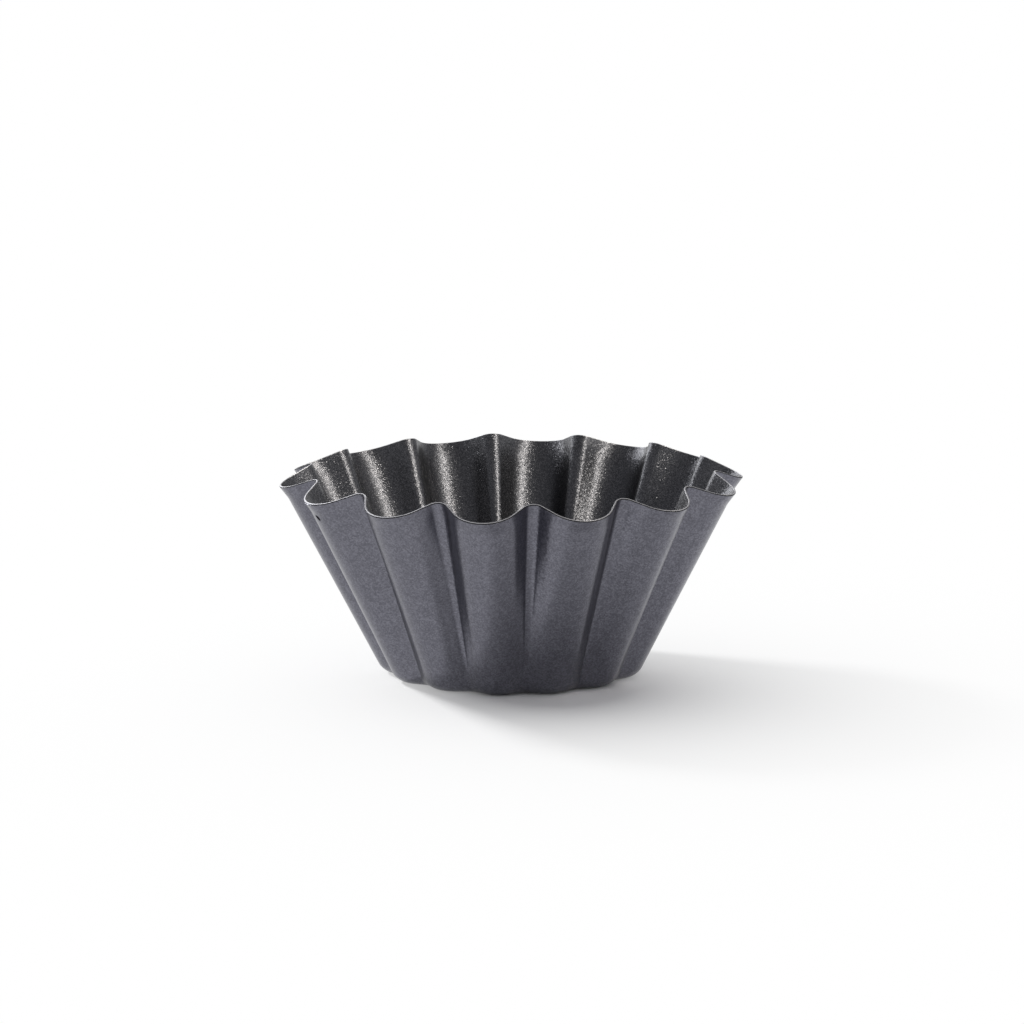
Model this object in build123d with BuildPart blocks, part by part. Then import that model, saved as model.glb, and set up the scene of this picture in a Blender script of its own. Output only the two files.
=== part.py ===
from build123d import *
import os
from math import acos, atan2, cos, degrees, hypot, radians, sin

# A fluted mould for one brioche, pressed from one disc of sheet steel, with a baked coat on each side.
# Millimetres and degrees. The origin is the middle of the underside, +Z is up and -Y is the front.

# Flutes
flute_count = 14
front_groove_angle = 5.6  # from the front towards +X, to the nearest groove

# Rim, measured on the outside
rim_diameter = 80.0  # over the lobes
rim_flute_depth = 4.75  # from the lobes in to the grooves
rim_lobe_radius = 5.75
rim_groove_radius = 1.5
rim_height_at_lobes = 32.9
rim_height_at_grooves = 35.2

# Base, measured on the outside as if the wall met the floor in a sharp corner
base_diameter = 44.4  # over the lobes
base_flute_depth = 1.15
base_lobe_radius = 5.4
base_groove_radius = 1.3
base_corner_radius = 3.2

# The last band below the rim turns outwards a little more than the rest of the wall
flare_height = 2.0
flare_reach_at_lobes = 0.85
flare_reach_at_grooves = 0.2

# Layers of the wall and the base
steel_thickness = 0.30
outer_coat_thickness = 0.05
inner_coat_thickness = 0.05

# How far a solid that cuts or joins runs past the edge that it makes
overrun = 1.5

# Worked out from the sizes above
half_pitch = 180 / flute_count
rim_lobes = rim_diameter / 2
rim_grooves = rim_lobes - rim_flute_depth
base_lobes = base_diameter / 2
base_grooves = base_lobes - base_flute_depth
flare_start_at_lobes = rim_height_at_lobes - flare_height
flare_start_at_grooves = rim_height_at_grooves - flare_height
flare_foot = flare_start_at_lobes - overrun
stock_height = rim_height_at_grooves + overrun

# How far the wall runs outwards, and how much its arcs widen, for each unit of height
lobe_slope = (rim_lobes - flare_reach_at_lobes - base_lobes) / rim_height_at_lobes
groove_slope = (rim_grooves - flare_reach_at_grooves - base_grooves) / rim_height_at_grooves
lobe_widening = (rim_lobe_radius - base_lobe_radius) / rim_height_at_lobes
groove_widening = (rim_groove_radius - base_groove_radius) / rim_height_at_grooves
flare_slope = flare_reach_at_lobes / flare_height
trim_slope = (rim_height_at_grooves - rim_height_at_lobes) / rim_flute_depth

# Depth of each surface of the sheet inside the outside of the mould
steel_outside = outer_coat_thickness
steel_inside = steel_outside + steel_thickness
cavity_surface = steel_inside + inner_coat_thickness


def flute_outline(height, depth, flared=False):
    """The closed outline of one surface of the sheet at a height: arcs joined by straight flanks."""
    lobes = base_lobes + lobe_slope * height
    grooves = base_grooves + groove_slope * height
    lobe_radius = base_lobe_radius + lobe_widening * height
    groove_radius = base_groove_radius + groove_widening * height
    inset = depth * hypot(1, lobe_slope)
    if flared:
        lobes += flare_slope * (height - flare_start_at_lobes)
        grooves += flare_reach_at_grooves * (height - flare_start_at_grooves) / flare_height
        inset = depth * hypot(1, lobe_slope + flare_slope)

    # Each flank is the straight line that touches the circle of a lobe and that of the groove beside it
    lobe_centre = lobes - lobe_radius
    groove_centre = grooves + groove_radius
    across = groove_centre * sin(radians(half_pitch))
    along = groove_centre * cos(radians(half_pitch)) - lobe_centre
    touch_angle = acos((lobe_radius + groove_radius) / hypot(across, along))
    lobe_half_arc = degrees(atan2(across, along) - touch_angle)
    groove_half_arc = lobe_half_arc - half_pitch

    with BuildSketch(Plane.XY.offset(height)) as outline:
        with BuildLine():
            for flute in range(flute_count):
                lobe_direction = front_groove_angle - 90 + half_pitch * (2 * flute + 1)
                lobe = CenterArc(
                    Vector(lobe_centre, 0).rotate(Axis.Z, lobe_direction),
                    lobe_radius - inset,
                    lobe_direction - lobe_half_arc,
                    2 * lobe_half_arc,
                )
                groove = CenterArc(
                    Vector(groove_centre, 0).rotate(Axis.Z, lobe_direction + half_pitch),
                    groove_radius + inset,
                    lobe_direction + lobe_half_arc + 180,
                    -2 * groove_half_arc,
                )
                Line(lobe @ 1, groove @ 0)
                Line(groove @ 1, (lobe @ 0).rotate(Axis.Z, 2 * half_pitch))
        make_face()
    return outline.sketch


def filled_form(depth):
    """Everything inside one surface of the sheet, up to a flat top above the rim."""
    straight_outlines = [flute_outline(height, depth) for height in (depth, stock_height)]
    flared_outlines = [flute_outline(height, depth, flared=True) for height in (flare_foot, stock_height)]
    with BuildPart() as form:
        loft(straight_outlines, ruled=True)
        fillet(form.faces().sort_by(Axis.Z)[0].edges(), base_corner_radius - depth)
        loft(flared_outlines, ruled=True)
    return form.part


def space_below_trim():
    """Everything under the cone that trims the rim, which is lower over the lobes than over the grooves."""
    outer_radius = rim_lobes + overrun
    outer_height = rim_height_at_lobes - trim_slope * overrun
    apex_height = rim_height_at_lobes + trim_slope * rim_lobes
    with BuildPart() as space:
        with BuildSketch(Plane.XZ):
            with BuildLine():
                Polyline(
                    (0, -overrun),
                    (outer_radius, -overrun),
                    (outer_radius, outer_height),
                    (0, apex_height),
                    close=True,
                )
            make_face()
        revolve(axis=Axis.Z)
    return space.part


outside_form = filled_form(0)
steel_outside_form = filled_form(steel_outside)
steel_inside_form = filled_form(steel_inside)
cavity_form = filled_form(cavity_surface)
below_trim = space_below_trim()

os.makedirs("parts", exist_ok=True)

# The grey coat on the outside and under the base, up to the cut edge
with BuildPart() as outer_coat:
    add(outside_form)
    add(below_trim, mode=Mode.INTERSECT)
    add(steel_outside_form, mode=Mode.SUBTRACT)
outer_coat.part.label = "outer_coat"
export_step(outer_coat.part, "parts/outer_coat.step")

# The pressed sheet, bare only at the cut edge of the rim
with BuildPart() as pressed_steel_shell:
    add(steel_outside_form)
    add(below_trim, mode=Mode.INTERSECT)
    add(steel_inside_form, mode=Mode.SUBTRACT)
pressed_steel_shell.part.label = "pressed_steel_shell"
export_step(pressed_steel_shell.part, "parts/pressed_steel_shell.step")

# The dark non-stick coat that lines the cavity
with BuildPart() as inner_nonstick_coat:
    add(steel_inside_form)
    add(below_trim, mode=Mode.INTERSECT)
    add(cavity_form, mode=Mode.SUBTRACT)
inner_nonstick_coat.part.label = "inner_nonstick_coat"
export_step(inner_nonstick_coat.part, "parts/inner_nonstick_coat.step")
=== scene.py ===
import bpy
from math import acos, atan2, cos, pi, radians, sin, sqrt, tan
from mathutils import Matrix, Vector, noise


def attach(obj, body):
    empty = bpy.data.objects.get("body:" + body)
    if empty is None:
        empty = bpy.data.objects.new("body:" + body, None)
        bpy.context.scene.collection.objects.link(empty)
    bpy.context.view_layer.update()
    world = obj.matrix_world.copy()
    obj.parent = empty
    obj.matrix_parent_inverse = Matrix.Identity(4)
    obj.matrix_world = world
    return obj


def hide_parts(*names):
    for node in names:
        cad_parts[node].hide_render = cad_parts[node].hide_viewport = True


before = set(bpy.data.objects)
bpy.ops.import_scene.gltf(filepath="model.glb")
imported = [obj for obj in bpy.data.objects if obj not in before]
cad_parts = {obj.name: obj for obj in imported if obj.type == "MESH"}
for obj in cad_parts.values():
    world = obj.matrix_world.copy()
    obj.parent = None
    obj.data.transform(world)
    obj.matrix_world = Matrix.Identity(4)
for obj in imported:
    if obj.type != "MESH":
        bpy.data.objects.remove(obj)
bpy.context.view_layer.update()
mm = 0.001

# The outside of the pressed sheet, in millimetres and degrees. It has the part's form, drawn closer to the
# photograph: the flanks are steeper, and most of the wall stands 0.1 to 0.4 mm outside that of the solids.
pressedForm = {
    "flutes": 14,
    "frontGrooveAngle": 5.6,  # from the front towards +X
    "rimDiameter": 80.0,
    "rimFluteDepth": 4.85,
    "rimLobeRadius": 6.2,
    "rimGrooveRadius": 2.0,
    "rimHeightAtLobes": 32.9,
    "rimHeightAtGrooves": 35.2,
    "wallLobeRadius": 6.4,  # just below the flare
    "wallGrooveRadius": 1.7,
    "baseDiameter": 44.8,
    "baseFluteDepth": 1.3,
    "baseLobeRadius": 5.8,
    "baseGrooveRadius": 1.0,
    "baseCornerRadius": 3.2,
    "flareHeight": 2.0,
    "flareReachAtLobes": 0.5,
    "flareReachAtGrooves": 0.2,
    "flareSoftness": 0.15,  # height over which the sheet bends into the flare
    "waviness": 0.015,  # how far the drawn wall wanders from its true form
    "wavinessSpacing": 9.0,  # and over what length
    "stepsRound": {"lobe": 22, "fall": 5, "groove": 14, "rise": 5},  # along each stretch of a flute
    "stepsUp": {"corner": 7, "wall": 14, "flare": 11},  # up each part of the wall
    "creaseAngle": 50,  # a bend sharper than this isn't shaded smooth
}


def heading(angle):
    return Vector((cos(angle), sin(angle)))


def lobeHeading(flute):
    return radians(pressedForm["frontGrooveAngle"] - 90) + pi / pressedForm["flutes"] * (2 * flute + 1)


# Every column of the mesh: its flute, the stretch of the flute that it is on, and how far along that
columns = []
for flute in range(pressedForm["flutes"]):
    for stretch, steps in pressedForm["stepsRound"].items():
        columns += [(flute, stretch, step / steps) for step in range(steps)]


def fluteOutline(lobes, grooves, lobeRadius, grooveRadius):
    # Arcs round each lobe and groove, joined by flanks that touch both, as a point and an outward direction
    # for each column
    halfPitch = pi / pressedForm["flutes"]
    lobeCentre = Vector((lobes - lobeRadius, 0))
    grooveCentre = (grooves + grooveRadius) * heading(halfPitch)
    across = grooveCentre - lobeCentre
    lobeEnd = atan2(across.y, across.x) - acos((lobeRadius + grooveRadius) / across.length)
    flankTop = lobeCentre + lobeRadius * heading(lobeEnd)
    flankFoot = grooveCentre - grooveRadius * heading(lobeEnd)
    outline = []
    for flute, stretch, share in columns:
        turn = lobeHeading(flute)
        if stretch == "lobe":
            side = heading(lobeEnd * (2 * share - 1))
            point = lobeCentre + lobeRadius * side
        elif stretch == "fall":
            side = heading(lobeEnd)
            point = flankTop.lerp(flankFoot, share)
        elif stretch == "groove":
            side = heading(lobeEnd + 2 * (halfPitch - lobeEnd) * share)
            point = grooveCentre - grooveRadius * side
        else:
            side = heading(lobeEnd)
            point = flankFoot.lerp(flankTop, share)
            side, point = Vector((side.x, -side.y)), Vector((point.x, -point.y))
            turn += 2 * halfPitch
        turned = Matrix.Rotation(turn, 2)
        outline.append((turned @ point, turned @ side))
    return outline


def flareBend(height, flareStart):
    # Near 0 below the start of the flare and near 1 at the rim, with a soft bend between
    above = (height - flareStart) / pressedForm["flareHeight"]
    soft = pressedForm["flareSoftness"] / pressedForm["flareHeight"]
    return (above + sqrt(above * above + soft * soft)) / 2


def outsideOfSheet():
    # Rows of points up the outside, from the edge of the flat base to above the rim, and their normals
    form = pressedForm
    rimLobes = form["rimDiameter"] / 2
    rimGrooves = rimLobes - form["rimFluteDepth"]
    baseLobes = form["baseDiameter"] / 2
    baseGrooves = baseLobes - form["baseFluteDepth"]
    corner = form["baseCornerRadius"]
    trimSlope = (form["rimHeightAtGrooves"] - form["rimHeightAtLobes"]) / form["rimFluteDepth"]

    # The straight wall runs between two outlines, one at the height 0 and one at the height of the grooves
    wallTop = form["rimHeightAtGrooves"]
    growth = wallTop / form["rimHeightAtLobes"]
    lobesAtTop = baseLobes + (rimLobes - form["flareReachAtLobes"] - baseLobes) * growth
    groovesAtTop = rimGrooves - form["flareReachAtGrooves"]
    feet = fluteOutline(baseLobes, baseGrooves, form["baseLobeRadius"], form["baseGrooveRadius"])
    tops = fluteOutline(lobesAtTop, groovesAtTop, form["wallLobeRadius"], form["wallGrooveRadius"])
    rims = fluteOutline(rimLobes, rimGrooves, form["rimLobeRadius"], form["rimGrooveRadius"])

    rows = [[] for _ in range(sum(form["stepsUp"].values()) + 1)]
    for (foot, side), (top, _), (rim, _) in zip(feet, tops, rims):
        run = (top - foot) / wallTop  # how far the wall moves outwards for each millimetre of height
        lean = run.dot(side)
        sideways = run - side * lean

        # The rim is cut along a cone, and the flare starts at the same distance below it all round
        rimHeight = form["rimHeightAtLobes"] + trimSlope * (rimLobes - rim.length)
        flareStart = rimHeight - form["flareHeight"]
        flareFoot = flareStart - 2 * form["flareSoftness"]
        flareWay = rim - foot - run * rimHeight
        bendAtRim = flareBend(rimHeight, flareStart)

        # The corner rolls from the flat base into the wall
        angle = atan2(1, lean)
        setBack = corner * tan(angle / 2)
        row = 0
        for step in range(form["stepsUp"]["corner"] + 1):
            turn = angle * step / form["stepsUp"]["corner"]
            height = corner * (1 - cos(turn))
            flat = foot + side * (corner * sin(turn) - setBack) + sideways * height
            rows[row].append(Vector((flat.x, flat.y, height)))
            row += 1
        cornerTop = corner * (1 - cos(angle))
        for part, low, high in (("wall", cornerTop, flareFoot), ("flare", flareFoot, rimHeight)):
            for step in range(1, form["stepsUp"][part] + 1):
                height = low + (high - low) * step / form["stepsUp"][part]
                flat = foot + run * height + flareWay * flareBend(height, flareStart) / bendAtRim
                rows[row].append(Vector((flat.x, flat.y, height)))
                row += 1

    # The drawn wall isn't quite true: it wanders a little, inwards only, and not at the base
    for row in rows[form["stepsUp"]["corner"]:]:
        for point in row:
            swell = noise.noise(point / form["wavinessSpacing"]) - 1
            calm = min(1, (point.z - corner) / form["wavinessSpacing"])
            point.xy += point.xy.normalized() * form["waviness"] * swell * max(0, calm)
    return rows, surfaceNormals(rows)


def surfaceNormals(rows):
    def slope(before, here, after):
        gapBefore, gapAfter = (here - before).length, (after - here).length
        return ((after - here) / gapAfter * gapBefore + (here - before) / gapBefore * gapAfter).normalized()

    normals = []
    count = len(columns)
    for index, row in enumerate(rows):
        normals.append([])
        for column, here in enumerate(row):
            along = slope(row[column - 1], here, row[(column + 1) % count])
            if index == 0:
                normals[-1].append(Vector((0, 0, -1)))
                continue
            if index == len(rows) - 1:
                up = here - rows[index - 1][column]
            else:
                up = slope(rows[index - 1][column], here, rows[index + 1][column])
            normals[-1].append(along.cross(up).normalized())
    return normals


sheetRows, sheetNormals = outsideOfSheet()
print("pressed form:", len(sheetRows), "rows of", len(columns), "points")


def layerRows(depth):
    # The same rows at a depth below the outside of the sheet
    return [
        [point - normal * depth for point, normal in zip(points, normals)]
        for points, normals in zip(sheetRows, sheetNormals)
    ]


def edgeRow(depth, lift):
    # A row along the cut edge: a depth into the sheet, and a lift past the last row of the wall
    row = []
    for below, top, normal in zip(sheetRows[-2], sheetRows[-1], sheetNormals[-1]):
        row.append(top - normal * depth + (top - below).normalized() * lift)
    return row


def closedSkin(name, outside, edge, inside):
    # One closed mesh: up the outside, over the cut edge, down the inside, with a flat base to each side
    rings = outside + edge + inside[::-1]
    count = len(columns)
    verts = [point * mm for ring in rings for point in ring]
    faces = []
    for ring in range(len(rings) - 1):
        for column in range(count):
            nextColumn = (column + 1) % count
            low, high = ring * count, (ring + 1) * count
            faces.append((low + column, low + nextColumn, high + nextColumn, high + column))
    faces.append(tuple(reversed(range(count))))
    last = (len(rings) - 1) * count
    faces.append(tuple(range(last, last + count)))
    mesh = bpy.data.meshes.new(name)
    mesh.from_pydata(verts, [], faces)
    mesh.polygons.foreach_set("use_smooth", [True] * len(faces))
    mesh.set_sharp_from_angle(angle=radians(pressedForm["creaseAngle"]))
    mesh.update()
    piece = bpy.data.objects.new(name, mesh)
    bpy.context.scene.collection.objects.link(piece)
    return piece


def hexColour(code):
    # An sRGB hex value as the linear colour that a socket takes
    channels = [int(code[i:i + 2], 16) / 255 for i in (1, 3, 5)]
    linear = [c / 12.92 if c <= 0.04045 else ((c + 0.055) / 1.055) ** 2.4 for c in channels]
    return (*linear, 1)


def addNode(material, kind, settings=None, links=None):
    # Settings go to the node's own fields or its inputs, and links are input: (node, output). Tones are the
    # stops of a colour ramp, each a position and a shade.
    tree = material.node_tree
    node = tree.nodes.new(kind)
    for key, value in (settings or {}).items():
        if key == "tones":
            stops = node.color_ramp.elements
            for _ in value[len(stops):]:
                stops.new(1)
            for stop, (position, shade) in zip(stops, value):
                stop.position = position
                stop.color = hexColour(shade)
        elif isinstance(key, str) and hasattr(node, key):
            setattr(node, key, value)
        else:
            node.inputs[key].default_value = value
    for key, (source, output) in (links or {}).items():
        tree.links.new(source.outputs[output], node.inputs[key])
    return node


def newMaterial(name):
    material = bpy.data.materials.new(name)
    material.use_nodes = True
    material.node_tree.nodes.clear()
    return material


def flakeNormal(material, flakes, tilt):
    # Each flake leans by how far its random colour is from mid grey, times the square of that, so most flakes
    # lie nearly flat and a few are well tilted
    midGrey, boost = (0.5, 0.5, 0.5), 8
    centred = addNode(material, "ShaderNodeVectorMath",
                      {"operation": "SUBTRACT", 1: midGrey}, {0: (flakes, "Color")})
    span = addNode(material, "ShaderNodeVectorMath", {"operation": "LENGTH"}, {0: (centred, "Vector")})
    rarer = addNode(material, "ShaderNodeMath", {"operation": "POWER", 1: 2.0}, {0: (span, "Value")})
    lean = addNode(material, "ShaderNodeMath", {"operation": "MULTIPLY", 1: boost * tilt}, {0: (rarer, 0)})
    turned = addNode(material, "ShaderNodeVectorMath", {"operation": "SCALE"},
                     {0: (centred, "Vector"), "Scale": (lean, 0)})
    surface = addNode(material, "ShaderNodeNewGeometry")
    tilted = addNode(material, "ShaderNodeVectorMath", {"operation": "ADD"},
                     {0: (turned, "Vector"), 1: (surface, "Normal")})
    return addNode(material, "ShaderNodeVectorMath", {"operation": "NORMALIZE"}, {0: (tilted, "Vector")})


# Outside: grey baked non-stick coat, sprayed thin over the drawn sheet.
# It has fine aluminium flake in it: satin, soft wide reflections, a cool grey with a faint grain.
outerCoat = {
    "thickness": 0.05,
    "edgeSetBack": 0.12,  # how far the coat stops below the cut edge
    "tones": ((0.25, "#62626a"), (0.55, "#6e6e77"), (0.85, "#7c7c85")),
    "metallic": 1.0,
    "roughness": 0.28,
    "flakeSize": 0.22,  # mm: real flake is near 0.05, drawn coarser so that it shows
    "flakeTilt": 0.02,
    "flakeShare": 0.62,  # of the tone, and the rest comes from the mottle
    "mottleSize": 1.6,  # mm, the cloudiness of a sprayed coat
    "chip": {  # a small dark one, matt and soft at its border, below the rim on the left at the front
        "middle": (-32.57, -19.92, 30.38),
        "along": (0.657, -0.497, -0.567),
        "facing": (-0.732, -0.5, -0.463),
        "size": (0.65, 0.45, 1.0),  # half its length, half its width and how deep it is looked for
        "clearAt": 1.15,  # of that size
        "bareAt": 0.75,
        "shade": "#26272b",
        "roughness": 0.95,
    },
}


def bakedFlakeCoat():
    coat = outerCoat
    material = newMaterial("baked flake coat")
    place = addNode(material, "ShaderNodeTexCoord")
    flakes = addNode(material, "ShaderNodeTexVoronoi", {"Scale": 1 / (coat["flakeSize"] * mm)},
                     {"Vector": (place, "Object")})
    clouds = addNode(material, "ShaderNodeTexNoise",
                     {"Scale": 1 / (coat["mottleSize"] * mm), "Roughness": 0.6},
                     {"Vector": (place, "Object")})
    flakeTone = addNode(material, "ShaderNodeSeparateColor", {}, {"Color": (flakes, "Color")})
    tone = addNode(material, "ShaderNodeMix", {"data_type": "FLOAT", 0: coat["flakeShare"]},
                   {2: (clouds, "Fac"), 3: (flakeTone, "Red")})
    ramp = addNode(material, "ShaderNodeValToRGB", {"tones": coat["tones"]}, {"Fac": (tone, 0)})

    chip = coat["chip"]
    facing = Vector(chip["facing"]).normalized()
    across = facing.cross(Vector(chip["along"])).normalized()
    slant = Matrix((across.cross(facing), across, facing)).transposed().to_euler()
    spot = addNode(material, "ShaderNodeMapping",
                   {"vector_type": "TEXTURE", "Location": [v * mm for v in chip["middle"]],
                    "Rotation": slant, "Scale": [v * mm for v in chip["size"]]},
                   {"Vector": (place, "Object")})
    off = addNode(material, "ShaderNodeVectorMath", {"operation": "LENGTH"}, {0: (spot, "Vector")})
    bare = addNode(material, "ShaderNodeMapRange",
                   {"From Min": chip["clearAt"], "From Max": chip["bareAt"]}, {"Value": (off, "Value")})
    paint = addNode(material, "ShaderNodeMix", {"data_type": "RGBA", 7: hexColour(chip["shade"])},
                    {0: (bare, "Result"), 6: (ramp, "Color")})
    dull = addNode(material, "ShaderNodeMapRange", {"To Min": coat["roughness"], "To Max": chip["roughness"]},
                   {"Value": (bare, "Result")})
    normal = flakeNormal(material, flakes, coat["flakeTilt"])
    shader = addNode(material, "ShaderNodeBsdfPrincipled", {"Metallic": coat["metallic"]},
                     {"Base Color": (paint, 2), "Roughness": (dull, "Result"), "Normal": (normal, "Vector")})
    addNode(material, "ShaderNodeOutputMaterial", {}, {"Surface": (shader, "BSDF")})
    return material


# Inside: near-black non-stick coat with mica in it, baked glossier than the outside.
# It looks black where it faces the dark and breaks a reflection up into bright grains.
innerCoat = {
    "thickness": 0.05,
    "edgeSetBack": 0.10,
    "tones": ((0.35, "#333438"), (0.95, "#57575b")),  # the binder, and the brightest flakes
    "metallic": 0.88,
    "roughness": 0.31,
    "flakeSize": 0.11,  # mm: real mica is near 0.06, drawn coarser so that it shows
    "flakeTilt": 0.10,
}


def sparkleNonstickCoat():
    coat = innerCoat
    material = newMaterial("sparkle non-stick coat")
    place = addNode(material, "ShaderNodeTexCoord")
    flakes = addNode(material, "ShaderNodeTexVoronoi", {"Scale": 1 / (coat["flakeSize"] * mm)},
                     {"Vector": (place, "Object")})
    flakeTone = addNode(material, "ShaderNodeSeparateColor", {}, {"Color": (flakes, "Color")})
    ramp = addNode(material, "ShaderNodeValToRGB", {"tones": coat["tones"]}, {"Fac": (flakeTone, "Green")})
    normal = flakeNormal(material, flakes, coat["flakeTilt"])
    shader = addNode(material, "ShaderNodeBsdfPrincipled",
                     {"Metallic": coat["metallic"], "Roughness": coat["roughness"]},
                     {"Base Color": (ramp, "Color"), "Normal": (normal, "Vector")})
    addNode(material, "ShaderNodeOutputMaterial", {}, {"Surface": (shader, "BSDF")})
    return material


# The sheet: cold-rolled steel, bare only where it was trimmed after pressing.
# The die burnished the inner part of the cut, which shows as a thin light line, and tore the outer part,
# which is rough; its near-black tones are painted shade, the dark line that the cut's outer part shows.
steelSheet = {
    "thickness": 0.30,
    "cornerRound": 0.06,  # where the cut meets either face
    "roundTurns": (30, 60, 90),  # degrees, where that rounding has a row
    "tornShadedWidth": 0.07,  # from the outer face inwards
    "burnished": {"tones": ((0.3, "#96969a"), (0.7, "#acacb0")), "roughness": 0.5},
    # The torn finish is painted shade: near-black, much darker than torn steel is under any lamp.
    "tornAndShaded": {"tones": ((0.3, "#1b1b1d"), (0.7, "#29292c")), "roughness": 0.65},
    "scratchSize": 0.35,  # mm: real drag marks are near 0.05, drawn coarser so that they show
    "scratchDepth": 0.01,
    "scratchStrength": 0.1,
}


def cutSteel(name, finish):
    steel = steelSheet
    material = newMaterial(name)
    place = addNode(material, "ShaderNodeTexCoord")
    drag = addNode(material, "ShaderNodeTexNoise",
                   {"Scale": 1 / (steel["scratchSize"] * mm), "Detail": 3.0}, {"Vector": (place, "Object")})
    ramp = addNode(material, "ShaderNodeValToRGB", {"tones": finish["tones"]}, {"Fac": (drag, "Fac")})
    bump = addNode(material, "ShaderNodeBump",
                   {"Strength": steel["scratchStrength"], "Distance": steel["scratchDepth"] * mm},
                   {"Height": (drag, "Fac")})
    shader = addNode(material, "ShaderNodeBsdfPrincipled",
                     {"Metallic": 1.0, "Roughness": finish["roughness"]},
                     {"Base Color": (ramp, "Color"), "Normal": (bump, "Normal")})
    addNode(material, "ShaderNodeOutputMaterial", {}, {"Surface": (shader, "BSDF")})
    return material


# The three layers, one against the next
steelOutside = outerCoat["thickness"]
steelInside = steelOutside + steelSheet["thickness"]
cavitySide = steelInside + innerCoat["thickness"]


def coatPiece(name, outsideDepth, insideDepth, setBack, material, node):
    outside, inside = layerRows(outsideDepth), layerRows(insideDepth)
    outside[-1] = edgeRow(outsideDepth, -setBack)
    inside[-1] = edgeRow(insideDepth, -setBack)
    piece = closedSkin(name, outside, [], inside)
    piece.data.materials.append(material)
    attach(piece, "root")
    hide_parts(node)
    print("made", name)
    return piece


def steelPiece():
    outside, inside = layerRows(steelOutside), layerRows(steelInside)
    radius = steelSheet["cornerRound"]
    outside[-1] = edgeRow(steelOutside, -radius)
    inside[-1] = edgeRow(steelInside, -radius)
    outerRound, innerRound = [], []
    for turn in steelSheet["roundTurns"]:
        back = radius * (1 - sin(radians(turn)))
        depth = radius * (1 - cos(radians(turn)))
        outerRound.append(edgeRow(steelOutside + depth, -back))
        innerRound.append(edgeRow(steelInside - depth, -back))
    tornShadedEnd = edgeRow(steelOutside + steelSheet["tornShadedWidth"], 0)
    piece = closedSkin("steelShell", outside, outerRound + [tornShadedEnd] + innerRound[::-1], inside)
    piece.data.materials.append(cutSteel("burnished steel", steelSheet["burnished"]))
    piece.data.materials.append(cutSteel("torn steel with painted shade", steelSheet["tornAndShaded"]))

    # The torn part, painted dark for shade, starts one row below the rounding, which the outer coat hides
    tornShadedStart = (len(outside) - 2) * len(columns)
    tornShadedFaces = (1 + len(outerRound) + 1) * len(columns)
    for face in range(tornShadedStart, tornShadedStart + tornShadedFaces):
        piece.data.polygons[face].material_index = 1
    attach(piece, "root")
    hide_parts("pressed_steel_shell")
    print("made the steel shell")
    return piece


pieces = [
    coatPiece("outsideCoat", 0, steelOutside, outerCoat["edgeSetBack"], bakedFlakeCoat(),
              "outer_coat"),
    steelPiece(),
    coatPiece("insideCoat", steelInside, cavitySide, innerCoat["edgeSetBack"], sparkleNonstickCoat(),
              "inner_nonstick_coat"),
]

# The studio: a pale table and backdrop, a dim room above, a lamp behind on the left and a strip lamp in
# front. In metres and watts, except where a note says mm.
studio = {
    "floorSize": 8.0,
    "floorGap": 0.02,  # mm that the table lies below the mould, so that their faces don't flicker
    "floorShade": "#e6e6e6",
    "shadowCentre": (7, -18),  # mm, where the shadow is deepest
    "shadowFull": 11,  # mm from there, the table still keeps its whole shadow
    "shadowFade": 25,  # mm further on, about a third of it is left
    "shadowReach": 200,  # mm further on, the table shows plain white
    "keyDirection": (-0.63, 0.585, 0.508),
    "keyDistance": 1.0,
    "keySize": 0.18,
    "keyPower": 13.0,
    "insideSize": 0.8,
    "insidePower": 8.0,
    "stripPlace": (0.3425, -0.2635, 0.3755),  # in front on the right
    "stripLean": (-0.198, 0.710, 0.677),  # its long side climbs and leans back
    "stripWidth": 0.07,
    "stripHeight": 0.55,
    "stripPower": 4.4,
    "stripShade": "#fff9ec",
    "roomShade": "#aaaaad",
    "backdropTop": 0.28,  # sine of the height above the horizon where the white backdrop ends
    "roomStart": 0.48,  # and where it has turned into the room
}

bpy.ops.mesh.primitive_plane_add(size=studio["floorSize"], location=(0, 0, -studio["floorGap"] * mm))
floor = bpy.context.object
floor.name = "floor"
floorMaterial = newMaterial("pale table")
place = addNode(floorMaterial, "ShaderNodeTexCoord")
shadowCentre = Vector((*studio["shadowCentre"], 0)) * mm
away = addNode(floorMaterial, "ShaderNodeVectorMath", {"operation": "DISTANCE", 1: shadowCentre},
               {0: (place, "Object")})
beyond = addNode(floorMaterial, "ShaderNodeMapRange",
                 {"From Min": studio["shadowFull"] * mm,
                  "From Max": (studio["shadowFull"] + studio["shadowReach"]) * mm,
                  "To Max": -studio["shadowReach"] / studio["shadowFade"]}, {"Value": (away, "Value")})
left = addNode(floorMaterial, "ShaderNodeMath", {"operation": "EXPONENT"}, {0: (beyond, "Result")})
clear = addNode(floorMaterial, "ShaderNodeMath", {"operation": "SUBTRACT", 0: 1.0}, {1: (left, 0)})
# Painted light: camera, glossy and transmission rays see the table glow white away from the shadow centre,
# which fades its real shadow out, on the table and in its reflection in the mould.
ray = addNode(floorMaterial, "ShaderNodeLightPath")
seen = addNode(floorMaterial, "ShaderNodeMath", {"operation": "MAXIMUM"},
               {0: (ray, "Is Camera Ray"), 1: (ray, "Is Glossy Ray")})
seenThrough = addNode(floorMaterial, "ShaderNodeMath", {"operation": "MAXIMUM"},
                      {0: (seen, 0), 1: (ray, "Is Transmission Ray")})
white = addNode(floorMaterial, "ShaderNodeMath", {"operation": "MULTIPLY"},
                {0: (clear, 0), 1: (seenThrough, 0)})
diffuse = addNode(floorMaterial, "ShaderNodeBsdfDiffuse", {"Color": hexColour(studio["floorShade"])})
glow = addNode(floorMaterial, "ShaderNodeEmission", {"Color": hexColour("#ffffff"), "Strength": 1.0})
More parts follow.
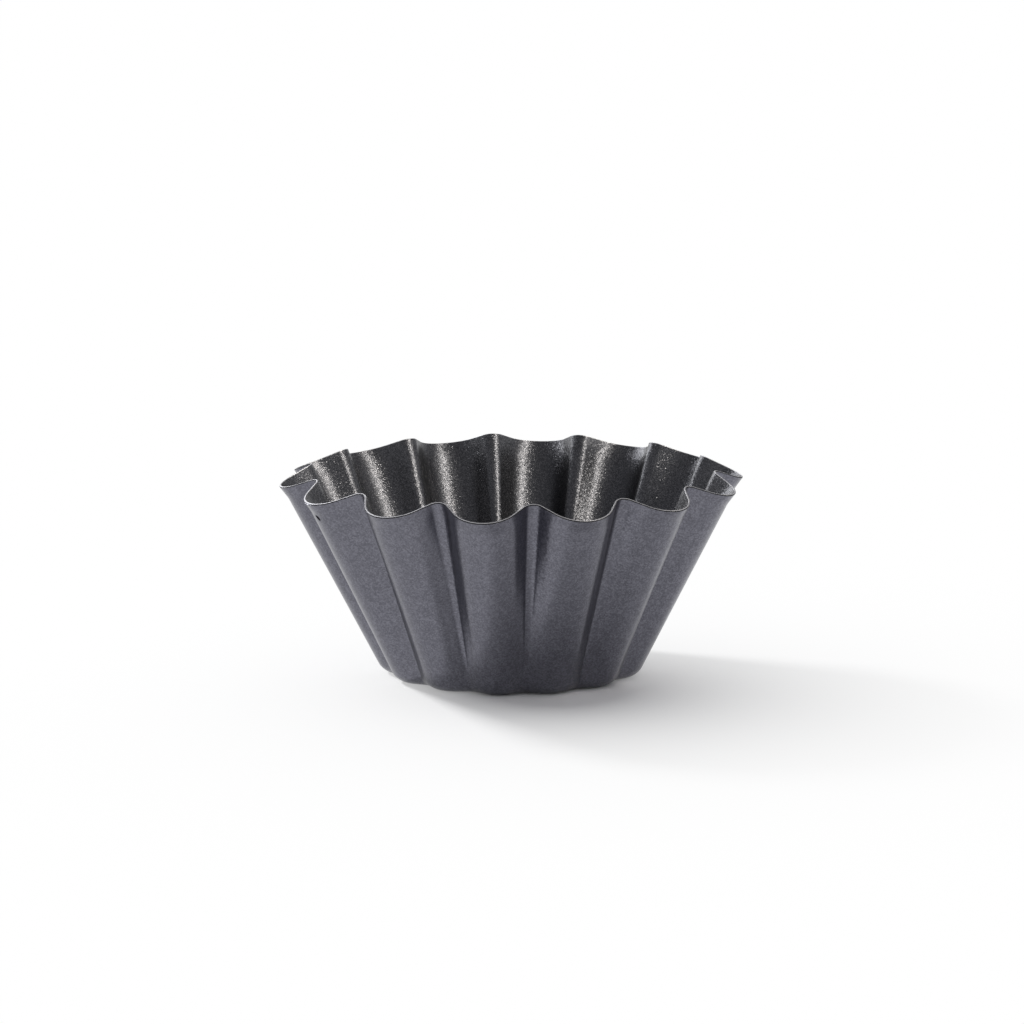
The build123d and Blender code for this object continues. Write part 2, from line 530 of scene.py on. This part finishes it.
cover = addNode(floorMaterial, "ShaderNodeMixShader", {},
                {0: (white, 0), 1: (diffuse, "BSDF"), 2: (glow, "Emission")})
addNode(floorMaterial, "ShaderNodeOutputMaterial", {}, {"Surface": (cover, "Shader")})
floor.data.materials.append(floorMaterial)

world = bpy.data.worlds.new("studio")
world.use_nodes = True
bpy.context.scene.world = world
world.node_tree.nodes.clear()
around = addNode(world, "ShaderNodeTexCoord")
height = addNode(world, "ShaderNodeSeparateXYZ", {}, {0: (around, "Generated")})
rise = addNode(world, "ShaderNodeMapRange",
               {"interpolation_type": "SMOOTHSTEP", "From Min": studio["backdropTop"],
                "From Max": studio["roomStart"]}, {"Value": (height, "Z")})
air = addNode(world, "ShaderNodeMix",
              {"data_type": "RGBA", 6: hexColour("#ffffff"), 7: hexColour(studio["roomShade"])},
              {0: (rise, "Result")})
sky = addNode(world, "ShaderNodeBackground", {}, {"Color": (air, 2)})
addNode(world, "ShaderNodeOutputWorld", {}, {"Surface": (sky, "Background")})


def softLamp(name, where, lean, shape, width, height, power, shade, linked, state):
    # A soft lamp that looks at the mould, and that lights only the linked objects or leaves them out
    lamp = bpy.data.lights.new(name, "AREA")
    lamp.shape = shape
    lamp.size = width
    lamp.size_y = height
    lamp.energy = power
    lamp.color = hexColour(shade)[:3]
    holder = bpy.data.objects.new(name, lamp)
    back = where.normalized()
    across = Vector(lean).cross(back).normalized()
    turned = Matrix((across, back.cross(across), back)).transposed().to_4x4()
    holder.matrix_world = Matrix.Translation(where) @ turned
    bpy.context.scene.collection.objects.link(holder)
    flagged = bpy.data.collections.new("linked to the " + name)
    holder.light_linking.receiver_collection = flagged
    for entry in linked:
        flagged.objects.link(entry)
    for entry in flagged.collection_objects:
        entry.light_linking.link_state = state


# The bare cut and the inside take the key light through a wider and weaker lamp, which keeps the flare from
# flashing white. The strip is kept off the table, where it would throw a second shadow.
cutAndInside = pieces[1:]
keyPlace = Vector(studio["keyDirection"]).normalized() * studio["keyDistance"]
softLamp("key lamp", keyPlace, (0, 0, 1), "DISK", studio["keySize"], studio["keySize"],
         studio["keyPower"], "#ffffff", cutAndInside, "EXCLUDE")
softLamp("inside lamp", keyPlace, (0, 0, 1), "DISK", studio["insideSize"], studio["insideSize"],
         studio["insidePower"], "#ffffff", cutAndInside, "INCLUDE")
softLamp("strip lamp", Vector(studio["stripPlace"]), studio["stripLean"], "RECTANGLE", studio["stripWidth"],
         studio["stripHeight"], studio["stripPower"], studio["stripShade"], pieces, "INCLUDE")
print("lit the studio with", len(bpy.data.lights), "lamps")

# The camera, as the photograph has it, in millimetres, radians and pixels
view = {
    "height": 180.884,
    "distance": 820.655,
    "pitch": 0.184746,
    "yaw": -0.000034,
    "roll": -0.00482,
    "focalPixels": 4857.66,
    "imagePixels": 1024,
    "sensor": 36.0,
    "nearest": 50,  # what lies closer isn't drawn
}
camera = bpy.data.cameras.new("camera")
camera.sensor_width = view["sensor"]
camera.lens = view["focalPixels"] / view["imagePixels"] * view["sensor"]
camera.clip_start = view["nearest"] * mm
cameraHolder = bpy.data.objects.new("camera", camera)
bpy.context.scene.collection.objects.link(cameraHolder)
cameraHolder.matrix_world = (
    Matrix.Translation((0, -view["distance"] * mm, view["height"] * mm))
    @ Matrix.Rotation(-view["yaw"], 4, "Z")
    @ Matrix.Rotation(pi / 2 - view["pitch"], 4, "X")
    @ Matrix.Rotation(view["roll"], 4, "Z")
)
bpy.context.scene.camera = cameraHolder
bpy.context.scene.view_settings.view_transform = "Standard"
print("placed the camera")

bpy.context.view_layer.update()
